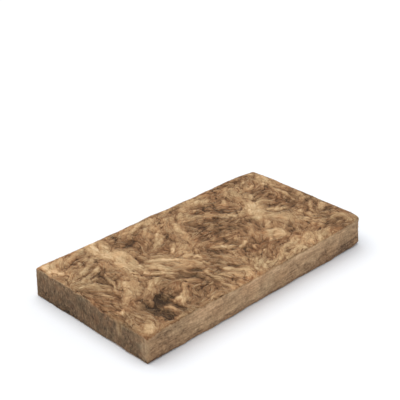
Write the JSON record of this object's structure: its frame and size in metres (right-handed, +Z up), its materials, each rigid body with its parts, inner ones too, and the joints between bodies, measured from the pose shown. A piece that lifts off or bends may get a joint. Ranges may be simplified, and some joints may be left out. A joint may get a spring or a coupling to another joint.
{
  "type": "insulation batt",
  "caption": "Flat rectangular batt of brown bonded glass wool with felted faces and soft cut edges, for filling a wall, floor or roof cavity.",
  "frame": {"origin": "centre of the lower face", "axes": "+X along the length, +Y across the width, +Z up through the thickness"},
  "size_m": [1.2, 0.6, 0.12],
  "materials": {
    "glass_wool": null
  },
  "bodies": {
    "root": {"batt": "glass_wool"}
  },
  "joints": []
}
